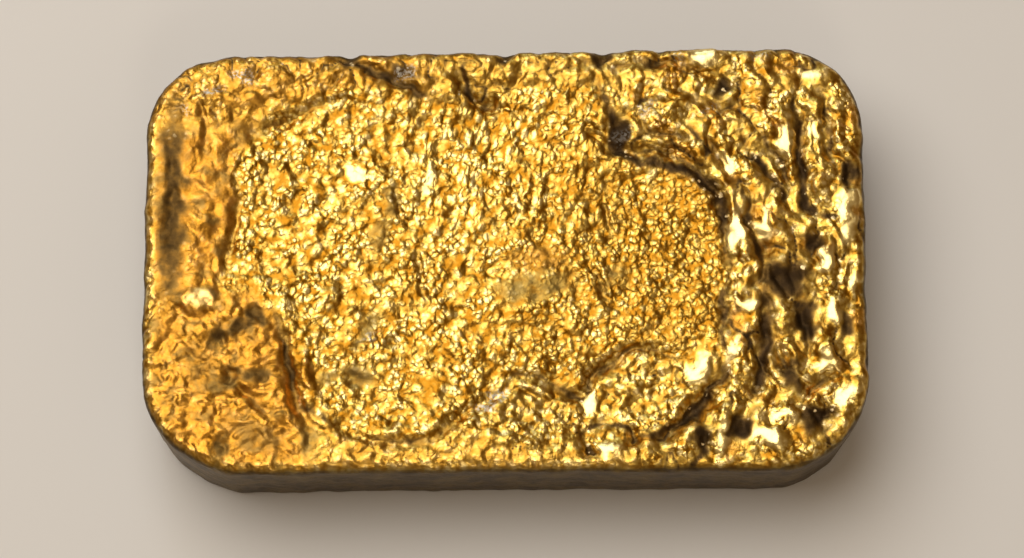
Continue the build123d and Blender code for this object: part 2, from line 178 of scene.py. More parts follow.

# A patch is an area that froze otherwise than what is round it: middle, half axes, turn in degrees, and how
# much of it has an olive film, redder metal, dark dirt with painted shade, bare metal with a painted
# highlight or pale specks of painted reflection
Patch = namedtuple("Patch", "x y long short turn olive warm soot bare pale", defaults=5 * (0.0,))
PATCHES = (
    Patch(3.2, -3.2, 4.2, 1.5, 8, olive=0.90, warm=0.15, soot=0.15),
    Patch(3.6, 0.0, 3.2, 1.6, 10, olive=0.35, warm=0.85),
    Patch(-15.0, -7.8, 2.4, 0.9, 60, olive=0.80, warm=0.10, soot=0.20),
    Patch(-16.4, -13.2, 2.2, 1.2, -40, olive=0.80, warm=0.10, soot=0.35),
    Patch(-19.1, -13.8, 1.2, 0.9, 20, olive=0.70, warm=0.20, soot=0.25),
    Patch(11.9, -2.2, 1.9, 0.9, 40, olive=0.65, warm=0.10, soot=0.25),
    Patch(-21.6, -13.4, 2.4, 1.0, 115, olive=0.10, warm=0.80),
    Patch(-14.0, 2.6, 2.0, 1.0, 80, olive=0.55, warm=0.30, soot=0.10),
    Patch(-12.7, 6.8, 0.9, 1.9, 10, olive=0.60, warm=0.10, soot=0.30),
    Patch(-34.0, 6.0, 3.0, 10.0, 0, warm=0.85),
    Patch(-31.0, -15.0, 9.5, 8.0, -30, olive=0.05, warm=0.90),
    Patch(-30.0, 18.0, 6.0, 3.5, 20, olive=0.05, warm=0.55),
    Patch(-36.9, 6.5, 1.5, 11.0, 0, olive=0.60, warm=0.50, soot=0.58),
    Patch(-29.0, -7.8, 1.8, 1.1, 30, olive=0.90, warm=0.10, soot=0.55),
    Patch(-31.6, -9.0, 1.5, 1.1, 10, olive=0.90, warm=0.10, soot=0.55),
    Patch(-27.3, -6.4, 1.2, 1.4, 0, olive=0.80, warm=0.10, soot=0.50),
    Patch(-30.4, -14.0, 2.4, 1.3, 10, olive=0.85, warm=0.15, soot=0.30),
    Patch(-27.0, -13.2, 1.6, 0.9, 10, olive=0.80, warm=0.10, soot=0.45),
    Patch(-31.0, -21.4, 1.0, 1.2, 0, olive=0.85, warm=0.20, soot=0.35),
    Patch(-21.5, -20.6, 1.1, 2.2, 10, olive=0.75, warm=0.20, soot=0.15),
    Patch(-33.8, -4.8, 2.0, 1.2, 10, warm=0.50, bare=0.6),
    Patch(-27.5, -20.0, 3.4, 1.5, -20, olive=0.60, warm=0.40, soot=0.20),
    Patch(-33.4, -12.5, 1.6, 3.0, 15, olive=0.50, warm=0.40, soot=0.15),
    Patch(24.2, 19.6, 1.3, 1.0, 30, olive=0.60, soot=0.85),
    Patch(12.7, 14.2, 0.9, 2.0, 10, olive=0.40, soot=0.95),
    Patch(21.9, 9.0, 1.4, 0.8, -40, olive=0.70, soot=0.80),
    Patch(31.0, -2.2, 2.8, 2.1, 15, olive=0.70, soot=0.85),
    Patch(34.2, 1.5, 1.5, 0.9, -45, olive=0.60, soot=0.80),
    Patch(33.0, -7.2, 1.2, 2.2, 0, olive=0.40, soot=0.90),
    Patch(31.3, -13.4, 1.2, 2.0, 15, olive=0.50, soot=0.75),
    Patch(34.2, -18.0, 1.8, 1.4, 40, olive=0.40, soot=0.90),
    Patch(25.8, -19.1, 1.4, 1.0, 40, olive=0.40, soot=0.90),
    Patch(21.5, -20.8, 0.9, 1.4, 0, olive=0.60, soot=0.80),
    Patch(37.6, -8.0, 0.8, 1.5, 0, olive=0.40, soot=0.75),
    Patch(38.1, 9.6, 0.9, 1.5, 0, olive=0.30, soot=0.80),
    Patch(-17.5, 23.2, 1.5, 1.0, 60, olive=0.20, soot=0.80),
    Patch(-11.5, 21.2, 1.8, 0.8, -30, olive=0.60, soot=0.60),
    Patch(0.0, 23.3, 0.9, 1.2, 0, olive=0.20, soot=0.80),
    Patch(10.8, 23.3, 0.9, 1.2, 0, olive=0.20, soot=0.80),
    Patch(25.7, 3.7, 0.9, 2.8, -4, bare=1.0),
    Patch(28.9, 4.2, 0.6, 2.1, -14, warm=0.1, bare=0.9),
    Patch(31.2, 13.0, 0.7, 1.9, -5, bare=1.0),
    Patch(24.8, 10.6, 0.6, 1.6, 10, bare=0.8),
    Patch(22.1, 23.4, 1.3, 1.1, 0, warm=0.1, bare=0.9),
    Patch(33.9, 21.0, 1.1, 0.7, -30, warm=0.1, bare=0.8),
    Patch(34.1, 14.8, 0.9, 0.8, 0, warm=0.1, bare=0.8),
    Patch(37.9, 6.0, 1.0, 1.5, -10, bare=1.0),
    Patch(38.2, 3.2, 0.6, 1.5, -20, bare=0.9),
    Patch(35.3, -0.4, 0.7, 1.4, -15, bare=1.0),
    Patch(38.4, -3.7, 0.5, 1.5, -5, bare=0.9),
    Patch(26.7, -5.5, 1.3, 0.8, 10, warm=0.1, bare=0.9),
    Patch(36.1, -6.1, 0.8, 1.3, -15, warm=0.2, bare=0.9),
    Patch(25.2, -10.2, 0.7, 1.2, -15, warm=0.1, bare=0.8),
    Patch(21.5, -12.6, 1.0, 1.7, -20, bare=1.0),
    Patch(35.3, -11.7, 1.1, 1.4, 0, warm=0.1, bare=0.8),
    Patch(37.4, -15.8, 0.6, 1.8, -40, bare=0.9),
    Patch(30.8, -18.0, 1.5, 0.8, -25, warm=0.1, bare=1.0),
    Patch(28.7, -20.4, 2.0, 1.0, -25, warm=0.1, bare=0.9),
    Patch(23.7, -20.3, 0.8, 2.0, -8, bare=1.0),
    Patch(11.3, -21.7, 0.8, 0.8, 0, bare=1.0),
    Patch(9.4, -16.3, 0.7, 1.1, 0, warm=0.1, bare=0.9),
    Patch(16.3, 9.6, 0.6, 0.9, 0, bare=0.7),
    Patch(-16.7, 9.6, 1.4, 0.7, -40, bare=0.7),
    Patch(-8.5, 9.0, 0.5, 1.9, -12, bare=0.7),
    Patch(-29.4, 21.0, 1.4, 0.8, -30, olive=0.3, soot=0.2, pale=0.7),
    Patch(-32.3, 19.3, 1.2, 0.7, 20, olive=0.3, soot=0.3, pale=0.8),
    Patch(-35.9, 16.7, 0.8, 0.6, 0, olive=0.2, soot=0.2, pale=0.7),
    Patch(-10.9, 21.0, 1.1, 0.7, 30, olive=0.2, soot=0.3, pale=0.6),
    Patch(18.9, 23.2, 1.0, 0.5, 0, olive=0.2, soot=0.3, pale=0.8),
    Patch(28.4, 23.4, 1.1, 0.6, 10, olive=0.1, soot=0.2, pale=0.9),
    Patch(15.7, 17.1, 0.9, 0.7, 0, olive=0.2, soot=0.3, pale=0.8),
    Patch(22.8, 17.1, 1.0, 0.5, 20, olive=0.1, soot=0.2, pale=0.9),
    Patch(12.9, 13.9, 0.6, 0.9, 0, soot=0.6, pale=0.3),
    Patch(-14.9, -9.1, 1.0, 0.4, 10, olive=0.2, soot=0.1, pale=0.7),
    Patch(-0.8, -15.6, 0.8, 1.1, -30, olive=0.2, soot=0.3, pale=0.9),
    Patch(-2.2, -16.9, 0.9, 0.6, 20, olive=0.1, soot=0.3, pale=0.8),
)

# How much a bare facet rises for each millimetre to the right
FACET_LEAN = 0.15

# What the skin tells the material at each point, and what every point of the mesh tells it
TINTS = ("grain", "streak", "dirt", "warm", "olive", "bare", "dull", "pale")
POINT_VALUES = TINTS + ("wall",)

# A soft light of the studio: its place and width in metres, and its colour. Its power is the property
# of the same name in the studio's look.
Lamp = namedtuple("Lamp", "name place width colour")
LAMPS = (
    Lamp("key", (-0.20, 0.18, 0.56), 0.62, (1.0, 0.96, 0.90)),
    Lamp("fill", (0.30, -0.55, 0.60), 0.60, (1.0, 1.0, 1.0)),
    Lamp("front", (0.05, -0.42, 0.50), 0.14, (1.0, 0.90, 0.75)),
    Lamp("sky", (-0.08, 0.52, 0.26), 0.25, (0.62, 0.80, 1.0)),
)

# Half the width of the floor, and how far it lies under the base, both in metres
FLOOR_REACH = 4.0
FLOOR_GAP = 0.00002

# The camera's height over the horizon, its distance from the top in metres, its lens and sensor in
# millimetres, and its shift in pixels of the image, with the image's width
CAMERA_ELEVATION = math.radians(75)
CAMERA_DISTANCE = 0.472
CAMERA_LENS = 150.3
CAMERA_SENSOR = 36.0
CAMERA_SHIFT = (7, -22)
IMAGE_WIDTH = 1024


class IngotForm(bpy.types.PropertyGroup):
    """Sizes of the casting"""

    rim_level: bpy.props.FloatProperty(
        name="Rim level", description="Height of the flat of the rim over the floor",
        default=14.4 * MM, min=4 * MM, unit="LENGTH", subtype="DISTANCE")
    rim_roll: bpy.props.FloatProperty(
        name="Rim roll", description="Radius by which the rim rolls over into the walls",
        default=1.3 * MM, min=0.2 * MM, unit="LENGTH", subtype="DISTANCE")
    base_round: bpy.props.FloatProperty(
        name="Base round", description="Radius round the flat base",
        default=1.0 * MM, min=0.1 * MM, unit="LENGTH", subtype="DISTANCE")
    draft: bpy.props.FloatProperty(
        name="Draft", description="Lean of the walls, inwards to the base",
        default=math.radians(3.0), min=0.0, subtype="ANGLE")
    back_rise: bpy.props.FloatProperty(
        name="Back rise", description="How much further back the back edge lies at the right end",
        default=1.1 * MM, unit="LENGTH", subtype="DISTANCE")
    front_rise: bpy.props.FloatProperty(
        name="Front rise", description="How much further back the front edge lies at the right end",
        default=0.8 * MM, unit="LENGTH", subtype="DISTANCE")
    corners: bpy.props.FloatVectorProperty(
        name="Corners", description="Radii of the front left, front right, back right and back left corner",
        default=(11.6 * MM, 10.6 * MM, 9.4 * MM, 9.6 * MM), size=4, unit="LENGTH", subtype="NONE")
    relief: bpy.props.FloatProperty(
        name="Relief", description="Share of the full height of what is added to the CAD node's own relief",
        default=1.0, min=0.0, max=2.0, subtype="FACTOR")
    spacing: bpy.props.FloatProperty(
        name="Spacing", description="Distance between points of the top's mesh",
        default=0.245 * MM, min=0.15 * MM, unit="LENGTH", subtype="DISTANCE")


class IngotGrain(bpy.types.PropertyGroup):
    """Sizes of the grain on the cast top"""

    size: bpy.props.FloatProperty(
        name="Grain size", description="Distance between the lumps of the granular skin",
        default=0.95 * MM, min=0.2 * MM, unit="LENGTH", subtype="DISTANCE")
    height: bpy.props.FloatProperty(
        name="Grain height", description="Height of the lumps of the granular skin",
        default=0.20 * MM, unit="LENGTH", subtype="DISTANCE")
    fine_size: bpy.props.FloatProperty(
        name="Fine grain size", description="Distance between the crystals on the lumps",
        default=0.62 * MM, min=0.1 * MM, unit="LENGTH", subtype="DISTANCE")
    fine_height: bpy.props.FloatProperty(
        name="Fine grain height", description="Height of the crystals on the lumps",
        default=0.11 * MM, unit="LENGTH", subtype="DISTANCE")
    seed: bpy.props.FloatProperty(
        name="Seed", description="Picks another pattern of the same kind", default=3.7)


class IngotMetal(bpy.types.PropertyGroup):
    """Colours of the gold and of what lies on it, and the painted shade, reflections and highlights"""

    yellow: bpy.props.FloatVectorProperty(
        name="Yellow gold", description="Colour of the bright grain",
        default=(1.0, 0.765, 0.305), size=3, min=0.0, max=1.0, subtype="COLOR")
    # Painted reflection: the redder gold on the flanks of the grain, where gold mirrors gold
    amber_reflection: bpy.props.FloatVectorProperty(
        name="Amber gold", description="Colour on the flanks of the grain, where gold mirrors gold",
        default=(0.66, 0.420, 0.078), size=3, min=0.0, max=1.0, subtype="COLOR")
    orange: bpy.props.FloatVectorProperty(
        name="Orange gold", description="Colour of the smooth, redder areas",
        default=(0.93, 0.515, 0.130), size=3, min=0.0, max=1.0, subtype="COLOR")
    # Painted reflection: the same for the redder areas
    rust_reflection: bpy.props.FloatVectorProperty(
        name="Rust gold", description="Colour on the flanks of the redder areas",
        default=(0.64, 0.29, 0.034), size=3, min=0.0, max=1.0, subtype="COLOR")
    # Painted shade: the darkest colour, deep between the grains
    gap: bpy.props.FloatVectorProperty(
        name="Gaps", description="Colour deep between the grains",
        default=(0.34, 0.145, 0.009), size=3, min=0.0, max=1.0, subtype="COLOR")
    olive: bpy.props.FloatVectorProperty(
        name="Olive film", description="Colour of the dull film in the smooth patches",
        default=(0.21, 0.145, 0.040), size=3, min=0.0, max=1.0, subtype="COLOR")
    # Part dirt, part painted shade: the colour where it lies thin in the creases
    brown: bpy.props.FloatVectorProperty(
        name="Thin dirt", description="Colour where the dirt in the creases lies thin",
        default=(0.19, 0.105, 0.026), size=3, min=0.0, max=1.0, subtype="COLOR")
    # Part dirt, part painted shade: the dark colour in the creases, pits and hollows
    soot: bpy.props.FloatVectorProperty(
        name="Crease dirt", description="Colour of the flux and dirt left in the creases",
        default=(0.055, 0.032, 0.014), size=3, min=0.0, max=1.0, subtype="COLOR")
    # Painted highlight: glints on a few crystals in the dark creases
    glint_highlight: bpy.props.FloatVectorProperty(
        name="Glints", description="Colour of the few clean crystals in the dirt",
        default=(1.0, 0.80, 0.45), size=3, min=0.0, max=1.0, subtype="COLOR")
    # Painted reflection: pale specks, as of a cool light mirrored in the metal
    sheen: bpy.props.FloatVectorProperty(
        name="Slag", description="Colour of the few pale specks of slag",
        default=(0.60, 0.57, 0.50), size=3, min=0.0, max=1.0, subtype="COLOR")
    # Painted shade: the dark brown colour over the walls and the lower roll of the rim
    wall: bpy.props.FloatVectorProperty(
        name="Wall film", description="Colour of the dull brown film that the mould left on the walls",
        default=(0.070, 0.043, 0.016), size=3, min=0.0, max=1.0, subtype="COLOR")


class StudioLook(bpy.types.PropertyGroup):
    """Floor and light"""

    floor: bpy.props.FloatVectorProperty(
        name="Floor", description="Colour of the plain floor",
        default=(0.72, 0.70, 0.67), size=3, min=0.0, max=1.0, subtype="COLOR")
    key: bpy.props.FloatProperty(
        name="Key light", description="Power of the soft light from the back left",
        default=3.1, unit="POWER")
    fill: bpy.props.FloatProperty(
        name="Fill light", description="Power of the wide light from the front",
        default=0.25, unit="POWER")
    front: bpy.props.FloatProperty(
        name="Front light", description="Power of the small light that picks out the front rim",
        default=0.25, unit="POWER")
    sky: bpy.props.FloatProperty(
        name="Sky light", description="Power of the cool light from low at the back",
        default=0.40, unit="POWER")
    room: bpy.props.FloatProperty(
        name="Room", description="Brightness of the even light all round",
        default=0.20)
    room_colour: bpy.props.FloatVectorProperty(
        name="Room colour", description="Colour of the even light all round",
        default=(1.0, 0.68, 0.38), size=3, min=0.0, max=1.0, subtype="COLOR")


class Signal:
    """The output of a node, which takes part in sums as a number would."""

    def __init__(self, graph, socket):
        self.graph = graph
        self.socket = socket

    def beside(self, name):
        """Another output of the same node."""
        return Signal(self.graph, self.socket.node.outputs[name])

    def maths(self, operation, *values, clamp=False):
        """A Math node on the values."""
        sockets = dict(enumerate(values))
        return self.graph.node("ShaderNodeMath", {"operation": operation, "use_clamp": clamp}, sockets)

    def __add__(self, other):
        return self.maths("ADD", self, other)

    def __radd__(self, other):
        return self.maths("ADD", other, self)

    def __sub__(self, other):
        return self.maths("SUBTRACT", self, other)

    def __rsub__(self, other):
        return self.maths("SUBTRACT", other, self)

    def __mul__(self, other):
        return self.maths("MULTIPLY", self, other)

    def __rmul__(self, other):
        return self.maths("MULTIPLY", other, self)

    def __truediv__(self, other):
        return self.maths("DIVIDE", self, other)

    def __rtruediv__(self, other):
        return self.maths("DIVIDE", other, self)

    def held(self):
        """The same value, held between 0 and 1."""
        return self.maths("ADD", self, 0.0, clamp=True)

    def step(self, low, high):
        """0 below low, 1 above high, and smooth in between."""
        settings = {"interpolation_type": "SMOOTHSTEP"}
        sockets = {"Value": self, "From Min": low, "From Max": high}
        return self.graph.node("ShaderNodeMapRange", settings, sockets)


class Graph:
    """A node tree that is written as expressions."""

    def __init__(self, tree):
        self.tree = tree

    def node(self, kind, settings=None, sockets=None, out=0):
        """Adds a node with its settings, then the values or links of its sockets."""
        made = self.tree.nodes.new(kind)
        for name, value in (settings or {}).items():
            setattr(made, name, value)
        for name, value in (sockets or {}).items():
            if isinstance(value, Signal):
                self.tree.links.new(value.socket, made.inputs[name])
            else:
                made.inputs[name].default_value = value
        return Signal(self, made.outputs[out]) if len(made.outputs) else made

    def vectors(self, operation, *values, **named):
        """A Vector Math node on the values."""
        sockets = dict(enumerate(values))
        sockets.update(named)
        return self.node("ShaderNodeVectorMath", {"operation": operation}, sockets)

    def blend(self, factor, first, second):
        """One colour laid over another."""
        def full(colour):
            return colour if isinstance(colour, Signal) else (*colour, 1.0)
        sockets = {0: factor, 6: full(first), 7: full(second)}
        return self.node("ShaderNodeMix", {"data_type": "RGBA"}, sockets, out=2)

    def cloud(self, place, scale, detail):
        """Soft blotches, about 0.5 on the mean."""
        sockets = {"Vector": place, "Scale": scale, "Detail": detail, "Roughness": 0.55}
        return self.node("ShaderNodeTexNoise", None, sockets)


def lattice(column, row, seed):
    """A repeatable number from -1 to 1 for each whole-number place."""
    mixed = (column * 374761393 + row * 668265263 + seed * 974634777) & 0xFFFFFFFF
    mixed = ((mixed ^ (mixed >> 13)) * 1274126177) & 0xFFFFFFFF
    return (mixed ^ (mixed >> 16)) / 0x7FFFFFFF - 1.0


def noise(x, y, size, seed):
    """Smooth hills and hollows from about -1 to 1, as far apart as size."""
    u, v = x / size, y / size
    column, row = np.floor(u).astype(np.int64), np.floor(v).astype(np.int64)
    fu, fv = u - column, v - row

    def corner(dx, dy):
        turn = np.pi * lattice(column + dx, row + dy, seed)
        return np.cos(turn) * (fu - dx) + np.sin(turn) * (fv - dy)

    su, sv = fu ** 3 * (fu * (6 * fu - 15) + 10), fv ** 3 * (fv * (6 * fv - 15) + 10)
    front = corner(0, 0) * (1 - su) + corner(1, 0) * su
    back = corner(0, 1) * (1 - su) + corner(1, 1) * su
    return 1.5 * (front * (1 - sv) + back * sv)


# Mean of billow over a wide area
MEAN_BILLOW = 0.6


def billow(x, y, size, seed):
    """Rounded lumps parted by winding valleys: 0 in the valleys and about 1 on the lumps."""
    return np.sqrt(np.clip(np.abs(noise(x, y, size, seed)) * 1.6, 0, 1))


def raised(lumps, height):
    """Billowing lumps of this height, which leave the mean level of the skin as it is."""
    return height * (lumps - MEAN_BILLOW)


def smooth_step(value):
    """0 below 0, 1 above 1, and smooth in between."""
    held = np.clip(value, 0.0, 1.0)
    return held * held * (3 - 2 * held)


def curve_through(points, pieces=8):
    """Points on a smooth curve through the given ones."""
    knots = np.array(points, dtype=float)
    knots = np.vstack([2 * knots[0] - knots[1], knots, 2 * knots[-1] - knots[-2]])
    t = np.linspace(0, 1, pieces, endpoint=False)[:, None]
    runs = []
    for a, b, c, d in zip(knots[:-3], knots[1:-2], knots[2:-1], knots[3:]):
        runs.append(0.5 * (2 * b + (c - a) * t + (2 * a - 5 * b + 4 * c - d) * t ** 2
                           + (3 * b - a - 3 * c + d) * t ** 3))
    return np.vstack(runs + [knots[-2:-1]])


def distance_along(x, y, path):
    """Distance of each point from a path, and how far along it, from 0 to 1, the nearest place is."""
    nearest = np.full(x.shape, np.inf)
    place = np.zeros(x.shape)
    ends = np.cumsum(np.hypot(*np.diff(path, axis=0).T))
    start = 0.0
    for (ax, ay), (bx, by), end in zip(path[:-1], path[1:], ends):
        length = end - start
        share = np.clip(((x - ax) * (bx - ax) + (y - ay) * (by - ay)) / length ** 2, 0, 1)
        reach = np.hypot(x - ax - share * (bx - ax), y - ay - share * (by - ay))
        closer = reach < nearest
        nearest = np.where(closer, reach, nearest)
        place = np.where(closer, (start + share * length) / ends[-1], place)
        start = end
    return nearest, place


def inside_depth(x, y, edge):
    """How far each point lies inside a closed edge, and less than nothing outside it."""
    pieces, tiny = 4, 1e-9
    path = curve_through((edge[-1],) + edge + (edge[0],), pieces)[pieces:-pieces]
    nearest = np.full(x.shape, np.inf)
    inside = np.zeros(x.shape, dtype=bool)
    for (ax, ay), (bx, by) in zip(path, np.roll(path, -1, axis=0)):
        length = max(math.hypot(bx - ax, by - ay), tiny)
        share = np.clip(((x - ax) * (bx - ax) + (y - ay) * (by - ay)) / length ** 2, 0, 1)
        nearest = np.minimum(nearest, np.hypot(x - ax - share * (bx - ax), y - ay - share * (by - ay)))
        rise = by - ay if by != ay else tiny
        level_with = (ay > y) != (by > y)
        inside ^= level_with & (x < ax + (y - ay) * (bx - ax) / rise)
    return np.where(inside, nearest, -nearest)


def oval(x, y, spot):
    """0 in the middle of a lump or a patch and 1 on its edge, growing outwards."""
    turn = math.radians(spot.turn)
    dx, dy = x - spot.x, y - spot.y
    along = dx * math.cos(turn) + dy * math.sin(turn)
    across = dy * math.cos(turn) - dx * math.sin(turn)
    return np.hypot(along / spot.long, across / spot.short)


def softened(grid, times):
    """A grid of values, each blended with its neighbours a number of times."""
    for _ in range(times):
        grid = np.pad(grid, 1, mode="edge")
        grid = (grid[:-2] + 2 * grid[1:-1] + grid[2:]) / 4
        grid = (grid[:, :-2] + 2 * grid[:, 1:-1] + grid[:, 2:]) / 4
    return grid


class CadTop:
    """The CAD node's own relief: heights against the rim, found with rays from above on an even grid."""

    # Distance between the rays in millimetres, and how many lie past the node's box on each side
    STEP = 0.25
    MARGIN = 2

    # Rounds of softening: a few take off the node's facets, and many leave only the level of the ground
    FACET_ROUNDS = 3
    GROUND_ROUNDS = 40

    def __init__(self, form, plan):
        low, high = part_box(NODE)
        self.low = np.array((low.x, low.y)) / MM - self.MARGIN * self.STEP
        columns = math.ceil((high.x - low.x) / MM / self.STEP) + 2 * self.MARGIN + 1
        rows = math.ceil((high.y - low.y) / MM / self.STEP) + 2 * self.MARGIN + 1
        along = self.low[0] + self.STEP * np.arange(columns)
        across = self.low[1] + self.STEP * np.arange(rows)
        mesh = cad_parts[NODE].data
        faces = [tuple(face.vertices) for face in mesh.polygons]
        tree = BVHTree.FromPolygons([vertex.co for vertex in mesh.vertices], faces)
        x, y = np.meshgrid(along, across)
        inner = plan.depth(x, y) > form.rim_roll / MM
        height = np.zeros(x.shape)
        start = high.z + MM
        down = Vector((0, 0, -1))
        for row, column in zip(*np.nonzero(inner)):
            hit = tree.ray_cast(Vector((along[column] * MM, across[row] * MM, start)), down)[0]
            height[row, column] = (hit.z - form.rim_level) / MM
        self.height = softened(height, self.FACET_ROUNDS)
        self.hollow = self.height - softened(height, self.GROUND_ROUNDS)

    def read(self, grid, x, y):
        """Values of one of the grids at any points."""
        u = np.clip((x - self.low[0]) / self.STEP, 0, grid.shape[1] - 1.001)
        v = np.clip((y - self.low[1]) / self.STEP, 0, grid.shape[0] - 1.001)
        column, row = u.astype(int), v.astype(int)
        fu, fv = u - column, v - row
        front = grid[row, column] * (1 - fu) + grid[row, column + 1] * fu
        back = grid[row + 1, column] * (1 - fu) + grid[row + 1, column + 1] * fu
        return front * (1 - fv) + back * fv


class CastSkin:
    """Relief and tints of the cast top at many points at once, all in millimetres."""

    def __init__(self, form, cad_top, plan, levels, x, y):
        self.x, self.y = x, y
        # Height of each bare facet, which the rim's points take from the top's
        self.levels = levels
        depth = plan.depth(x, y)
        # Everything listed is bent a little, so that no edge runs as smoothly as a drawn line
        self.bent_x = x + 0.45 * noise(x, y, 2.3, 11) + 0.20 * noise(x, y, 0.9, 12)
        self.bent_y = y + 0.45 * noise(x, y, 2.3, 13) + 0.20 * noise(x, y, 0.9, 14)

        # How far each point belongs to each zone, from 0 to 1
        self.field = smooth_step(0.5 + inside_depth(self.bent_x, self.bent_y, FIELD_EDGE) / 1.6)
        self.shelf = smooth_step(0.5 + inside_depth(self.bent_x, self.bent_y, SHELF_EDGE) / 1.6)
        border = 1 - np.maximum(self.field, self.shelf)
        self.right = border * smooth_step((x - 8) / 8)
        self.left = border * smooth_step((-20 - x) / 4) * smooth_step((17 - y) / 4)
        self.lobe = self.left * smooth_step((-3 - y) / 3)
        self.back = border * smooth_step((y - 14) / 3) * (1 - self.right)
        self.front = border * smooth_step((-14 - y) / 3) * (1 - self.right) * (1 - self.left)
        self.edge = smooth_step(1.6 - depth)

        hollow = cad_top.read(cad_top.hollow, self.bent_x, self.bent_y)
        # Dirt and painted shade in the hollows of the node's relief, stronger towards the right
        self.dirt = (0.40 + 0.40 * smooth_step((x + 4) / 12)) * smooth_step((-0.12 - hollow) / 0.40)
        own = self.texture() + self.drawn()
        self.height = cad_top.read(cad_top.height, self.bent_x, self.bent_y) + form.relief * own
        self.tint()
        self.lay_patches()

    def texture(self):
        """Lumps, ripples and knolls that differ by zone, and dirt and painted shade between the larger ones.
        """
        x, y = self.bent_x, self.bent_y
        wound_x = x + 0.9 * noise(x, y, 4.0, 40)
        wound_y = y + 0.9 * noise(x, y, 4.0, 39)

        relief = self.field * (0.18 * noise(x, y, 3.2, 31) + 0.12 * noise(x, y, 1.7, 34))
        streaks = smooth_step((y + 2) / 6) * smooth_step((15 - np.abs(x)) / 8)
        relief += self.field * 0.06 * streaks * noise(x - 0.15 * y, y * 0.4, 1.2, 32)
        relief += self.field * smooth_step((-6 - x) / 8) * 0.12 * noise(x, y, 1.7, 33)

        folds = billow(wound_x + 0.25 * wound_y, wound_y * 0.55, 3.1, 41)
        knolls = billow(wound_x, wound_y, 2.0, 42)
        relief += self.right * (raised(folds, 0.42) + raised(knolls, 0.16) + 0.30 * noise(x, y, 2.6, 43))
        waves = billow(wound_x + 0.2 * wound_y, wound_y * 0.8, 2.9, 44)
        relief += self.left * (raised(waves, 0.22) + 0.16 * noise(x, y, 1.8, 45))
        pimples = billow(x, 1.5 * y, 1.5, 46)
        relief += self.lobe * (raised(pimples, 0.17) + 0.13 * noise(x, 1.3 * y, 0.85, 47))
        beads = billow(wound_x, wound_y, 2.2, 35)
        relief += self.front * (raised(beads, 0.20) + 0.12 * noise(x, y, 1.0, 36))
        knobs = billow(wound_x, wound_y, 2.8, 48)
        relief += self.back * (raised(knobs, 0.34) + 0.16 * noise(x, y, 1.3, 49))
        ledges = billow(wound_x - 0.3 * wound_y, wound_y * 1.2, 2.6, 50)
        relief += self.shelf * (raised(ledges, 0.28) + 0.14 * noise(x, y, 1.2, 51))

        # Dirt and painted shade in some of the valleys between the larger lumps
        darkening = smooth_step(0.55 - 1.3 * noise(x, y, 5.0, 52))
        dark_valleys = ((self.right, folds, 0.50), (self.shelf, ledges, 0.30), (self.back, knobs, 0.52))
        for zone, lumps, top in dark_valleys:
            self.dirt = np.maximum(self.dirt, 0.9 * zone * darkening * smooth_step((top - lumps) / top))
        return relief

    def drawn(self):
        """Creases, folds, lumps and pits, each where it is listed."""
        relief = np.zeros(self.x.shape)
        broken = np.clip(0.85 + 0.45 * noise(self.x, self.y, 1.7, 66), 0, 1)
        for crease in CREASES:
            reach, place = distance_along(self.bent_x, self.bent_y, curve_through(crease.path))
            fade = np.sin(np.pi * np.clip(place, 0.02, 0.98)) ** 0.35
            valley = np.exp(-(reach / (crease.width * (0.55 + 0.45 * fade))) ** 2)
            lip = np.exp(-((reach - 1.9 * crease.width) / crease.width) ** 2)
            relief += fade * crease.depth * (0.20 * lip - valley)
            # Dirt and painted shade along the bottom of the crease, broken in places
            self.dirt = np.maximum(self.dirt, crease.soot * fade * broken * valley ** 1.6)
        for fold in FOLDS:
            reach, place = distance_along(self.bent_x, self.bent_y, curve_through(fold.path))
            fade = np.sin(np.pi * np.clip(place, 0.05, 0.95)) ** 0.5
            relief += fold.height * fade * np.exp(-(reach / fold.width) ** 3)
            self.dirt *= 1 - 0.9 * fade * np.exp(-(reach / fold.width) ** 4)
        for lump in LUMPS:
            relief += lump.height * np.exp(-oval(self.bent_x, self.bent_y, lump) ** 2.2)
        return relief

    def tint(self):
        """Grain, streaks, olive, warmth, dimmed painted highlights and painted edge glints in each zone."""
        x, y = self.x, self.y
        clusters = smooth_step(0.5 + 1.2 * noise(x, y, 2.8, 62))
        self.grain = 0.10 + 0.90 * self.field + 0.70 * self.shelf + 0.50 * self.back + 0.45 * self.front
        self.grain += self.right * (0.38 + 0.52 * clusters) + self.left * (0.04 + 0.26 * clusters)
        self.grain = np.maximum(self.grain, 0.80 * self.edge)

        # Dull: how far the painted highlights are dimmed, and how fine the crystals are
        self.dull = 0.9 * self.field * smooth_step((x + 8) / 26) * (1 - 0.6 * smooth_step((-5 - y) / 6))
        self.dull += self.field * (0.15 + 0.30 * noise(x, y, 8.0, 65))
        self.dull += 0.30 * self.left + 0.20 * self.lobe + 0.35 * self.front + 0.45 * self.back
        self.dull = np.clip(self.dull, 0, 1)
        self.streak = self.field * smooth_step((y - 1) / 5) * smooth_step((14 - np.abs(x)) / 6)

        self.olive = 0.22 * self.right * smooth_step(noise(self.bent_x, self.bent_y, 3.0, 61))
        self.olive += 0.70 * self.left * smooth_step(2.0 * noise(self.bent_x, self.bent_y, 1.7, 67))
        self.warm = self.left * (0.95 - 0.5 * self.edge) + 0.12 * self.back + 0.35 * self.front
        self.warm += 0.50 * self.back * smooth_step((-6 - x) / 8)
        self.warm += 0.80 * self.right * smooth_step(2.0 * noise(self.bent_x, self.bent_y, 3.4, 68) - 0.4)

        # Painted glints along the front and left edges, in broken patches
        edge_glints = self.edge * (1 - self.field) * smooth_step(0.4 + 1.6 * noise(x, y, 1.3, 69))
        self.bare = 0.55 * edge_glints * (self.front + self.lobe + self.left).clip(0, 1)
        self.pale = np.zeros(x.shape)

